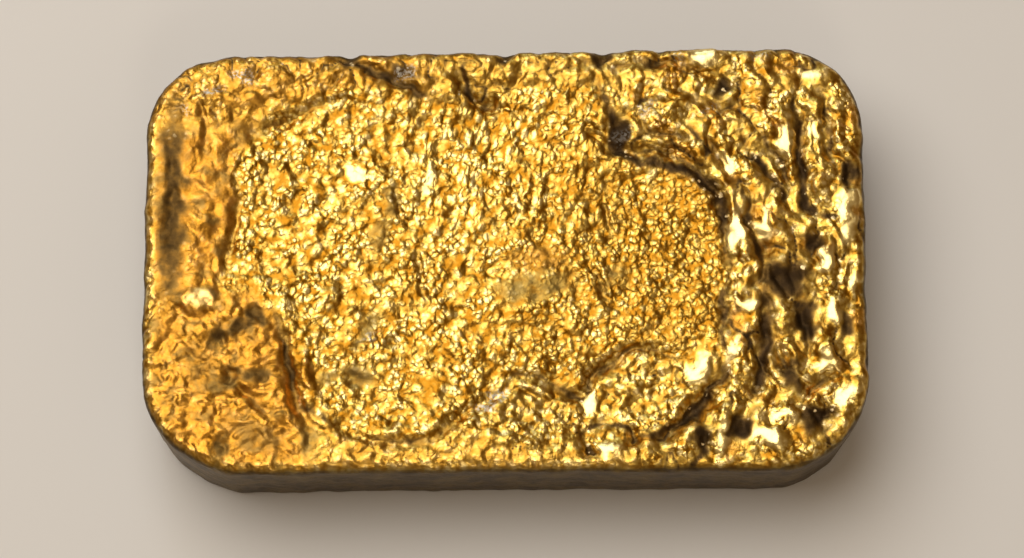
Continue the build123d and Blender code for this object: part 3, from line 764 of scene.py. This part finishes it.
    def lay_patches(self):
        """Lays the listed patches over the tints, and turns the bare ones into flat facets."""
        ragged_x = self.bent_x + 0.7 * noise(self.x, self.y, 1.6, 63)
        ragged_y = self.bent_y + 0.7 * noise(self.x, self.y, 1.6, 64)
        for patch in PATCHES:
            reach = oval(ragged_x, ragged_y, patch)
            cover = smooth_step(1.45 - reach)
            self.olive = np.maximum(self.olive, patch.olive * cover)
            self.warm = np.maximum(self.warm, patch.warm * cover)
            # Dark dirt and painted shade over the patch
            self.dirt = np.maximum(self.dirt, patch.soot * smooth_step((1.75 - reach) / 1.5))
            self.bare = np.maximum(self.bare, patch.bare * cover)
            self.pale = np.maximum(self.pale, patch.pale * cover)
            self.grain *= 1 - 0.6 * cover * max(patch.olive, patch.bare)
            if patch.bare and cover.any():
                middle = self.levels.setdefault(patch, np.average(self.height, weights=cover))
                facet = middle + 0.10 + FACET_LEAN * (self.x - patch.x)
                self.height += 0.8 * patch.bare * cover * (facet - self.height)
        self.dirt *= 1 - 0.9 * self.bare
        self.warm *= 1 - 0.7 * self.bare
        self.grain = np.clip(self.grain * (1 - 0.35 * self.dirt), 0, 1)


class PlanOutline:
    """The rounded plan: points and outward directions round it, and how far inside it a point lies."""

    def __init__(self, form):
        low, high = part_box(NODE)
        half_length = (high.x - low.x) / 2 / MM
        half_width = (high.y - low.y) / 2 / MM
        self.corners = np.array([
            (-half_length, -half_width), (half_length, -half_width + form.front_rise / MM),
            (half_length, half_width), (-half_length, half_width - form.back_rise / MM)])
        self.radii = np.array(form.corners) / MM
        following = np.roll(self.corners, -1, axis=0) - self.corners
        self.ways = following / np.hypot(*following.T)[:, None]
        self.normals = np.column_stack([self.ways[:, 1], -self.ways[:, 0]])

        # Where the arc of each corner starts and ends, and its centre
        before = np.roll(self.ways, 1, axis=0)
        turns = np.arccos(np.clip(np.sum(before * self.ways, axis=1), -1, 1))
        tangents = (self.radii * np.tan(turns / 2))[:, None]
        self.starts = self.corners - before * tangents
        self.ends = self.corners + self.ways * tangents
        self.centres = self.starts - np.roll(self.normals, 1, axis=0) * self.radii[:, None]

        # How far round the plan each arc and each side ends
        sides = np.hypot(*(np.roll(self.starts, -1, axis=0) - self.ends).T)
        lengths = np.column_stack([self.radii * turns, sides]).ravel()
        self.stops = np.concatenate([[0], np.cumsum(lengths)])
        self.perimeter = self.stops[-1]

    def ring(self, count):
        """Points and outward directions, evenly spaced round the plan."""
        spots, ways = [], []
        for reach in np.arange(count) * self.perimeter / count:
            part = int(np.searchsorted(self.stops, reach, side="right")) - 1
            corner, on_side = divmod(part, 2)
            along = reach - self.stops[part]
            if on_side:
                spots.append(self.ends[corner] + self.ways[corner] * along)
                ways.append(self.normals[corner])
                continue
            first = self.normals[corner - 1]
            angle = math.atan2(first[1], first[0]) + along / self.radii[corner]
            way = np.array((math.cos(angle), math.sin(angle)))
            spots.append(self.centres[corner] + way * self.radii[corner])
            ways.append(way)
        return np.array(spots), np.array(ways)

    def depth(self, x, y):
        """How far inside the plan each point lies."""
        depth = np.full(x.shape, np.inf)
        for corner, normal in zip(self.corners, self.normals):
            depth = np.minimum(depth, -((x - corner[0]) * normal[0] + (y - corner[1]) * normal[1]))
        for index, (centre, radius) in enumerate(zip(self.centres, self.radii)):
            before, after = self.ways[index - 1], self.ways[index]
            dx, dy = x - centre[0], y - centre[1]
            in_corner = (dx * before[0] + dy * before[1] > 0) & (dx * after[0] + dy * after[1] < 0)
            depth = np.where(in_corner, radius - np.hypot(dx, dy), depth)
        return depth


class MeshParts:
    """Points, faces and point values of a mesh while it is put together."""

    def __init__(self):
        self.points = []
        self.faces = []
        self.values = {name: [] for name in POINT_VALUES}
        self.total = 0

    def add(self, points, **values):
        """Adds points with their values, and returns their numbers."""
        first = self.total
        self.total += len(points)
        self.points.append(points)
        for name, kept in self.values.items():
            kept.append(np.broadcast_to(values.get(name, 0.0), len(points)).astype(float))
        return np.arange(first, self.total)

    def band(self, upper, lower):
        """Joins two rings of the same number of points."""
        next_upper, next_lower = np.roll(upper, -1), np.roll(lower, -1)
        self.faces.extend(np.column_stack([upper, lower, next_lower]).tolist())
        self.faces.extend(np.column_stack([upper, next_lower, next_upper]).tolist())

    def halving_band(self, upper, lower):
        """Joins a ring to one of half as many points."""
        even, odd = upper[0::2], upper[1::2]
        following, next_lower = np.roll(even, -1), np.roll(lower, -1)
        self.faces.extend(np.column_stack([even, lower, odd]).tolist())
        self.faces.extend(np.column_stack([odd, lower, next_lower]).tolist())
        self.faces.extend(np.column_stack([odd, next_lower, following]).tolist())

    def add_ring(self, upper, points, **values):
        """Adds a ring below one of as many or twice as many points, joins them and returns its numbers."""
        lower = self.add(points, **values)
        if len(lower) < len(upper):
            self.halving_band(upper, lower)
        else:
            self.band(upper, lower)
        return lower

    def object(self, name):
        """An object of the whole mesh, with the values as attributes of its points."""
        mesh = bpy.data.meshes.new(name)
        mesh.from_pydata((np.vstack(self.points) * MM).tolist(), [], self.faces)
        for kept, values in self.values.items():
            attribute = mesh.attributes.new(kept, "FLOAT", "POINT")
            attribute.data.foreach_set("value", np.concatenate(values).astype(np.float32))
        mesh.shade_smooth()
        mesh.update()
        made = bpy.data.objects.new(name, mesh)
        bpy.context.scene.collection.objects.link(made)
        return made


def at_height(spots, height):
    """Points over these places of the plan, all at one height."""
    return np.column_stack([spots, np.full(len(spots), height)])


class Casting:
    """The ingot's closed mesh: a net over the top, rings down the rolled rim and the walls, and the base."""

    # Rings on the rolled rim, on the walls and on the rounded edge of the base
    RIM_RINGS = 9
    WALL_RINGS = 16
    BASE_RINGS = 4

    # Sizes of the rings on the flat of the base, as shares of its outline. A ring of more points than the
    # number below is followed by one of half as many.
    FLAT_RINGS = (0.965, 0.90, 0.80, 0.62, 0.36, 0.12)
    HALVED_OVER = 130

    # Points that lie closer than this are joined in the net
    CLOSEST = 1e-6

    def __init__(self, form):
        self.form = form
        self.level = form.rim_level / MM
        self.roll = form.rim_roll / MM
        self.base_round = form.base_round / MM
        self.spacing = form.spacing / MM
        self.lean = math.tan(form.draft)
        self.plan = PlanOutline(form)
        self.cad_top = CadTop(form, self.plan)
        self.levels = {}
        self.parts = MeshParts()

        # The number of points round the rim is halved on the way down, so it divides by 8
        count = 8 * round(self.plan.perimeter / self.spacing / 8)
        outline, self.ways = self.plan.ring(count)
        self.outer = outline + self.ways * self.wander(*outline.T)[:, None]
        self.edge = self.outer - self.ways * self.roll

    def make(self):
        """Puts the parts together from the top to the base, and returns them."""
        ring = self.add_top()
        ring = self.add_rim(ring)
        ring = self.add_walls(ring)
        self.add_base(ring)
        return self.parts

    def wander(self, x, y):
        """How far the outline wanders outwards, as the mould's edge let it and where a lump meets it."""
        sway = 0.16 * noise(x, y, 7.0, 71) + 0.10 * noise(x, y, 2.4, 72) - 0.10
        return sway + 0.9 * sum(lump.height * np.exp(-oval(x, y, lump) ** 2) for lump in LUMPS)

    def skin_at(self, x, y):
        """Relief and tints of the top at these places."""
        return CastSkin(self.form, self.cad_top, self.plan, self.levels, x, y)

    def add_top(self):
        """A net of near-equal triangles inside the ring where the rim begins to roll."""
        low, high = self.edge.min(axis=0), self.edge.max(axis=0)
        rows = []
        for number, row in enumerate(np.arange(low[1], high[1], self.spacing * math.sqrt(3) / 2)):
            along = np.arange(low[0] + (number % 2) * self.spacing / 2, high[0], self.spacing)
            rows.append(np.column_stack([along, np.full(along.shape, row)]))
        net = np.vstack(rows)
        # The net begins a little further in than the ring ever wanders
        clear = 0.75 * self.spacing + 0.35
        net = net[self.plan.depth(net[:, 0], net[:, 1]) > self.roll + clear]

        count = len(self.edge)
        loop = [(number, (number + 1) % count) for number in range(count)]
        flat = [Vector(spot) for spot in np.vstack([self.edge, net])]
        # Output of type 1 holds only the triangles inside the loop
        found = delaunay_2d_cdt(flat, loop, [], 1, self.CLOSEST)
        spots = np.array([tuple(spot) for spot in found[0]])

        skin = self.skin_at(spots[:, 0], spots[:, 1])
        tints = {name: getattr(skin, name) for name in TINTS}
        self.parts.add(np.column_stack([spots, self.level + skin.height]), **tints)
        self.parts.faces.extend([list(face) for face in found[2]])
        return np.arange(count)

    def add_rim(self, ring):
        """The rolled rim, on which the relief of the top's edge fades as the rim turns over."""
        for step in range(1, self.RIM_RINGS + 1):
            angle = math.pi / 2 * step / self.RIM_RINGS
            fade = math.cos(angle) ** 0.7 if step < self.RIM_RINGS else 0.0
            spots = self.edge + self.ways * self.roll * math.sin(angle)
            height = self.level - self.roll + self.roll * math.cos(angle)
            # Lower rings read the skin further back, so that the front rim isn't drawn out into stripes
            skin = self.skin_at(spots[:, 0], spots[:, 1] + 0.6 * self.roll * (1 - math.cos(angle)))
            ripple = 0.06 * noise(spots[:, 0], spots[:, 1] + height, 1.3, 81) * math.sin(2 * angle)
            bump = skin.height * fade + ripple
            points = np.column_stack([
                spots + self.ways * (bump * math.sin(angle))[:, None], height + bump * math.cos(angle)])
            tints = {name: getattr(skin, name) * fade for name in TINTS}
            tints["grain"] = np.maximum(tints["grain"], 0.25)
            # Painted shade: the walls' dark colour begins partway round the roll
            film = smooth_step(3.0 * angle / (math.pi / 2) - 1.15)
            ring = self.parts.add_ring(ring, points, wall=film, **tints)
        return ring

    def add_walls(self, ring):
        """The leaning walls, with the laps and drags of the mould, in rings of half as many points."""
        outer, ways = self.outer[::2], self.ways[::2]
        start = self.level - self.roll
        turn = np.arange(len(outer)) / len(outer) * 2 * math.pi
        # The pattern of the walls runs round a circle about as long as the outline, so that it closes
        circle = self.plan.perimeter / 6.28
        seam_x, seam_y = np.cos(turn) * circle, np.sin(turn) * circle
        for down in np.linspace(0, start - self.base_round, self.WALL_RINGS + 1)[1:]:
            laps = 0.07 * noise(seam_x * 0.5, seam_y * 0.5 + down * 1.8, 1.6, 91)
            drags = 0.07 * noise(seam_x + 0.15 * down, seam_y + 0.05 * down, 1.7, 92)
            fade = min(1.0, 0.4 + down / 3)
            spots = outer - ways * (self.lean * down) + ways * (fade * (laps + drags))[:, None]
            ring = self.parts.add_ring(ring, at_height(spots, start - down), grain=0.22, wall=1.0)
        return ring

    def add_base(self, ring):
        """The base: a rounded edge, then flat rings to the middle."""
        outer, ways = self.outer[::2], self.ways[::2]
        foot = outer - ways * (self.lean * (self.level - self.roll - self.base_round))
        for step in range(1, self.BASE_RINGS + 1):
            angle = math.pi / 2 * step / self.BASE_RINGS
            spots = foot - ways * self.base_round * (1 - math.cos(angle))
            height = self.base_round * (1 - math.sin(angle))
            ring = self.parts.add_ring(ring, at_height(spots, height), grain=0.15, wall=1.0)

        floor = foot - ways * self.base_round
        for share in self.FLAT_RINGS:
            if len(ring) > self.HALVED_OVER:
                floor = floor[::2]
            ring = self.parts.add_ring(ring, at_height(floor * share, 0.0), grain=0.1, wall=1.0)
        middle = self.parts.add(np.zeros((1, 3)), grain=0.1, wall=1.0)[0]
        self.parts.faces.extend([[a, middle, b] for a, b in zip(ring.tolist(), np.roll(ring, -1).tolist())])


def grain_tree():
    """Geometry nodes that raise the lumps of the granular skin."""
    tree = bpy.data.node_groups.new("Granular skin", "GeometryNodeTree")
    ports = tree.interface
    ports.new_socket("Geometry", in_out="INPUT", socket_type="NodeSocketGeometry")
    for name, default in (("Grain Size", 0.95 * MM), ("Grain Height", 0.20 * MM), ("Seed", 3.7)):
        port = ports.new_socket(name, in_out="INPUT", socket_type="NodeSocketFloat")
        port.default_value = default
    ports.new_socket("Metal", in_out="INPUT", socket_type="NodeSocketMaterial")
    ports.new_socket("Geometry", in_out="OUTPUT", socket_type="NodeSocketGeometry")

    graph = Graph(tree)
    given = graph.node("NodeGroupInput", out="Geometry")
    place = graph.node("GeometryNodeInputPosition")
    facing = graph.node("GeometryNodeInputNormal")
    weight = graph.node("GeometryNodeInputNamedAttribute", {"data_type": "FLOAT"}, {"Name": "grain"})
    scaled = graph.vectors("SCALE", place, Scale=1.0 / given.beside("Grain Size"))
    cells = graph.node(
        "ShaderNodeTexVoronoi", {"voronoi_dimensions": "4D", "feature": "SMOOTH_F1"},
        {"Vector": scaled, "W": given.beside("Seed"), "Scale": 1.0, "Smoothness": 0.35, "Randomness": 1.0})
    ripple = graph.node(
        "ShaderNodeTexNoise", {"noise_dimensions": "4D"},
        {"Vector": scaled, "W": given.beside("Seed"), "Scale": 1.9, "Detail": 1.0, "Roughness": 0.5})
    lift = (0.55 - cells) * 1.1 + (ripple - 0.5) * 0.9
    offset = graph.vectors("SCALE", facing, Scale=lift * weight * given.beside("Grain Height"))
    moved = graph.node("GeometryNodeSetPosition", None, {"Geometry": given, "Offset": offset})
    real = graph.node("GeometryNodeRealizeInstances", None, {"Geometry": moved})
    dressed = {"Geometry": real, "Material": given.beside("Metal")}
    coated = graph.node("GeometryNodeSetMaterial", None, dressed)
    graph.node("NodeGroupOutput", None, {"Geometry": coated})
    return tree


def run_tree(piece, tree, inputs):
    """Runs a geometry tree on a piece and keeps the result as a plain mesh."""
    modifier = piece.modifiers.new(tree.name, "NODES")
    modifier.node_group = tree
    for port in tree.interface.items_tree:
        if port.item_type == "SOCKET" and port.in_out == "INPUT" and port.name in inputs:
            modifier[port.identifier] = inputs[port.name]
    bpy.context.view_layer.update()
    evaluated = piece.evaluated_get(bpy.context.evaluated_depsgraph_get())
    mesh = bpy.data.meshes.new_from_object(evaluated)
    piece.modifiers.remove(modifier)
    old = piece.data
    piece.data = mesh
    bpy.data.meshes.remove(old)


def grains_at(graph, place, seed):
    """One layer of crystals: height, 1 on top and 0 in the gaps, and a tone for each crystal."""
    cells = graph.node(
        "ShaderNodeTexVoronoi", {"voronoi_dimensions": "3D", "feature": "F1"},
        {"Vector": graph.vectors("ADD", place, (seed, seed, seed)), "Scale": 1.0, "Randomness": 1.0})
    tone = graph.node("ShaderNodeSeparateColor", None, {"Color": cells.beside("Color")})
    return 1.0 - cells.step(0.05, 0.86), tone


def crystal_layers(graph, place, grain, coarse, rods):
    """Height and tone of the crystals: fine round ones, coarse clusters of them, and rods in streaks."""
    bend = graph.cloud(place, 1.4, 2.0)
    bent = graph.vectors("ADD", place, graph.vectors("SCALE", bend.beside("Color"), Scale=0.55))
    fine = graph.vectors("SCALE", bent, Scale=MM / grain.fine_size)
    wide = graph.vectors("SCALE", fine, Scale=0.58)
    turned = {"Vector": fine, "Angle": 0.2}
    leaning = graph.node("ShaderNodeVectorRotate", {"rotation_type": "Z_AXIS"}, turned)
    long = graph.vectors("MULTIPLY", leaning, (0.95, 0.48, 0.6))

    round_height, round_tone = grains_at(graph, fine, grain.seed)
    coarse_height, coarse_tone = grains_at(graph, wide, grain.seed + 9.0)
    rod_height, rod_tone = grains_at(graph, long, grain.seed + 5.0)
    lumpy = coarse_height * (0.55 + 0.60 * round_height)
    height = (round_height * (1.0 - coarse) + lumpy * coarse) * (1.0 - rods) + rod_height * rods
    tone = (round_tone * (1.0 - coarse) + coarse_tone * coarse) * (1.0 - rods) + rod_tone * rods
    return height, tone


def cast_metal(metal, grain):
    """Gold that froze in air: crystals with painted highlights and painted shade, redder smooth metal, dull
    films, dirt and painted shade in the creases, and painted shade on the walls.
    """
    material = bpy.data.materials.new("Cast gold")
    material.use_nodes = True
    tree = material.node_tree
    tree.nodes.clear()
    graph = Graph(tree)

    grains, streak, dirt, warm, olive, bare, dull, pale, wall = [
        graph.node("ShaderNodeAttribute", {"attribute_name": name}, out="Fac") for name in POINT_VALUES]
    place = graph.vectors("SCALE", graph.node("ShaderNodeTexCoord", out="Object"), Scale=1.0 / MM)
    rough = graph.cloud(place, 0.85, 3.0)
    silk = graph.cloud(place, 3.2, 2.0)
    patchy = graph.cloud(place, 0.30, 2.0)
    coarse = patchy.step(0.40, 0.54) * (0.95 - 0.6 * dull)
    rods = streak * graph.cloud(place, 0.55, 1.0).step(0.44, 0.56)
    crystal, tone = crystal_layers(graph, place, grain, coarse, rods)

    # Painted highlights and painted shade: how bright each place is painted, and the fine relief
    # Painted highlight on the tops of the crystals, with a tone that differs at random, and painted shade in
    # their gaps
    bright = crystal * (0.50 + 0.80 * tone) * (0.50 + 1.0 * rough)
    # Painted brightness of the smooth metal between the grains
    smooth = 0.45 + 0.5 * (silk - 0.5) + 1.1 * (rough - 0.5)
    lit = bright * grains + smooth * (1.0 - grains)
    # Painted shine, dimmed where the metal is dull, with a painted highlight on the bare facets
    painted_shine = (lit * (1.0 - 0.40 * dull) + bare * 0.6).held()
    relief = (0.9 * crystal * grains + (rough - 0.5) * 0.7 + (silk - 0.5) * 0.25) * (1.0 - 0.6 * bare)
    bump = graph.node(
        "ShaderNodeBump", None, {"Strength": 1.0, "Distance": grain.fine_height, "Height": relief})

    # Colours, each laid over those before it: painted shade in the gaps, painted reflection on the flanks
    # and the gold's own colour on top, then films, dirt and painted shade, painted glints, painted pale
    # reflections and the painted shade of the walls
    redder = (warm + (patchy - 0.5) * 0.7 + (rough - 0.5) * 0.4 - 0.3 * bare).held()
    reflected = graph.blend(redder, metal.amber_reflection, metal.rust_reflection)
    high = graph.blend(redder, metal.yellow, metal.orange)
    film = (olive * rough.step(0.25, 0.60) * (1.0 - 0.5 * crystal * grains)).held()
    # How dark the dirt and painted shade are, broken by the crystals
    darkening = dirt * (1.0 + (rough - 0.5) * 1.1) - crystal * tone * grains * 0.35
    # Painted glints: a few crystals in the dirt and painted shade, given a bright colour
    glinting = tone.step(0.70, 0.80) * crystal.step(0.55, 0.90)
    painted_glints = glinting * dirt.step(0.15, 0.40) * (1.0 - warm.held())
    # Painted reflections: pale specks in the patches that have a pale share
    specks = pale * silk.step(0.44, 0.58) * (0.4 + 0.8 * crystal)
    # How the painted shade of the walls varies over them
    uneven_shade = 0.93 + 0.30 * (rough - 0.5) + 0.30 * (silk - 0.5) + 0.40 * (patchy - 0.5)
    layers = (
        (painted_shine.step(0.02, 0.42), reflected),
        (painted_shine.step(0.30, 0.82), high),
        (film, metal.olive),
        (darkening.step(0.05, 0.60), metal.brown),
        (darkening.step(0.25, 0.90), metal.soot),
        (painted_glints.held(), metal.glint_highlight),
        (specks.held(), metal.sheen),
        ((wall * uneven_shade).held(), metal.wall),
    )
    colour = metal.gap
    for cover, layer in layers:
        colour = graph.blend(cover, colour, layer)
    roughness = 0.33 + 0.05 * warm + 0.10 * olive + 0.15 * (rough - 0.5) + 0.30 * dirt + 0.12 * wall
    roughness = (roughness - 0.05 * bare).held()

    shader = graph.node(
        "ShaderNodeBsdfPrincipled", None,
        {"Base Color": colour, "Metallic": 1.0, "Roughness": roughness, "Normal": bump})
    graph.node("ShaderNodeOutputMaterial", None, {"Surface": shader})
    return material


def plain_material(name, colour, roughness):
    """One even colour."""
    material = bpy.data.materials.new(name)
    material.use_nodes = True
    shader = material.node_tree.nodes["Principled BSDF"]
    shader.inputs["Base Color"].default_value = (*colour, 1.0)
    shader.inputs["Roughness"].default_value = roughness
    return material


def aim(thing, target):
    """Turns a camera or a light towards a point."""
    thing.rotation_euler = (Vector(target) - thing.location).to_track_quat("-Z", "Y").to_euler()


def make_floor(scene, colour):
    """A plain floor, a hair under the base."""
    sides = ((-1, -1), (1, -1), (1, 1), (-1, 1))
    mesh = bpy.data.meshes.new("floor")
    corners = [(x * FLOOR_REACH, y * FLOOR_REACH, -FLOOR_GAP) for x, y in sides]
    mesh.from_pydata(corners, [], [(0, 1, 2, 3)])
    mesh.materials.append(plain_material("Plain floor", colour, 0.9))
    floor = bpy.data.objects.new("floor", mesh)
    scene.collection.objects.link(floor)
    return floor


def hang_lamp(scene, lamp, power, target):
    """A soft round light that points at the ingot."""
    glow = bpy.data.lights.new(lamp.name, "AREA")
    glow.shape = "DISK"
    glow.size = lamp.width
    glow.energy = power
    glow.color = lamp.colour
    light = bpy.data.objects.new(lamp.name, glow)
    light.location = lamp.place
    scene.collection.objects.link(light)
    aim(light, target)


def light_room(scene, colour, strength):
    """Even light all round."""
    world = bpy.data.worlds.new("Studio")
    scene.world = world
    world.use_nodes = True
    background = world.node_tree.nodes["Background"]
    background.inputs["Color"].default_value = (*colour, 1.0)
    background.inputs["Strength"].default_value = strength


def set_camera(scene, target):
    """The camera, at the photo's angle and distance."""
    lens = bpy.data.cameras.new("camera")
    lens.sensor_width = CAMERA_SENSOR
    lens.lens = CAMERA_LENS
    lens.shift_x, lens.shift_y = (pixels / IMAGE_WIDTH for pixels in CAMERA_SHIFT)
    camera = bpy.data.objects.new("camera", lens)
    way = Vector((0, -math.cos(CAMERA_ELEVATION), math.sin(CAMERA_ELEVATION)))
    camera.location = target + CAMERA_DISTANCE * way
    scene.collection.objects.link(camera)
    aim(camera, target)
    scene.camera = camera


class INGOT_OT_cast(bpy.types.Operator):
    """Makes the ingot round the CAD node's box and relief, and puts it in the node's place"""

    bl_idname = "ingot.cast"
    bl_label = "Cast ingot"

    def execute(self, context):
        scene = context.scene
        form, grain, metal = scene.ingot_form, scene.ingot_grain, scene.ingot_metal
        piece = Casting(form).make().object("cast_ingot")
        inputs = {
            "Grain Size": grain.size, "Grain Height": grain.height, "Seed": grain.seed,
            "Metal": cast_metal(metal, grain)}
        run_tree(piece, grain_tree(), inputs)
        if len(piece.data.polygons) > MOST_TRIANGLES:
            raise RuntimeError(f"the ingot has {len(piece.data.polygons)} faces, more than a piece may have")
        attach(piece, "root")
        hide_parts(NODE)
        return {"FINISHED"}


class INGOT_OT_stage(bpy.types.Operator):
    """Makes the floor, the soft lights and the camera"""

    bl_idname = "ingot.stage"
    bl_label = "Set the stage"

    def execute(self, context):
        scene = context.scene
        look = scene.studio_look
        top = Vector((0, 0, scene.ingot_form.rim_level))
        floor = make_floor(scene, look.floor)
        for lamp in LAMPS:
            hang_lamp(scene, lamp, getattr(look, lamp.name), top)
        light_room(scene, look.room_colour, look.room)
        set_camera(scene, top)
        scene.view_settings.view_transform = "Standard"
        return {"FINISHED"}


class INGOT_PT_panel(bpy.types.Panel):
    """A button for each maker, and the sizes and colours that they use"""

    bl_idname = "INGOT_PT_panel"
    bl_label = "Poured ingot"
    bl_space_type = "VIEW_3D"
    bl_region_type = "UI"
    bl_category = "Ingot"

    def draw(self, context):
        for maker in OPERATORS:
            self.layout.operator(maker.bl_idname)
        for group, kind in GROUPS.items():
            for name in kind.__annotations__:
                self.layout.prop(getattr(context.scene, group), name)


OPERATORS = (INGOT_OT_cast, INGOT_OT_stage)
GROUPS = {
    "ingot_form": IngotForm,
    "ingot_grain": IngotGrain,
    "ingot_metal": IngotMetal,
    "studio_look": StudioLook,
}
KINDS = (*GROUPS.values(), *OPERATORS, INGOT_PT_panel)


def register():
    for kind in KINDS:
        bpy.utils.register_class(kind)
    for name, kind in GROUPS.items():
        setattr(bpy.types.Scene, name, bpy.props.PointerProperty(type=kind))


def unregister():
    for name in GROUPS:
        delattr(bpy.types.Scene, name)
    for kind in reversed(KINDS):
        bpy.utils.unregister_class(kind)


def main():
    register()
    bpy.ops.ingot.cast()
    bpy.ops.ingot.stage()


if __name__ == "__main__":
    main()
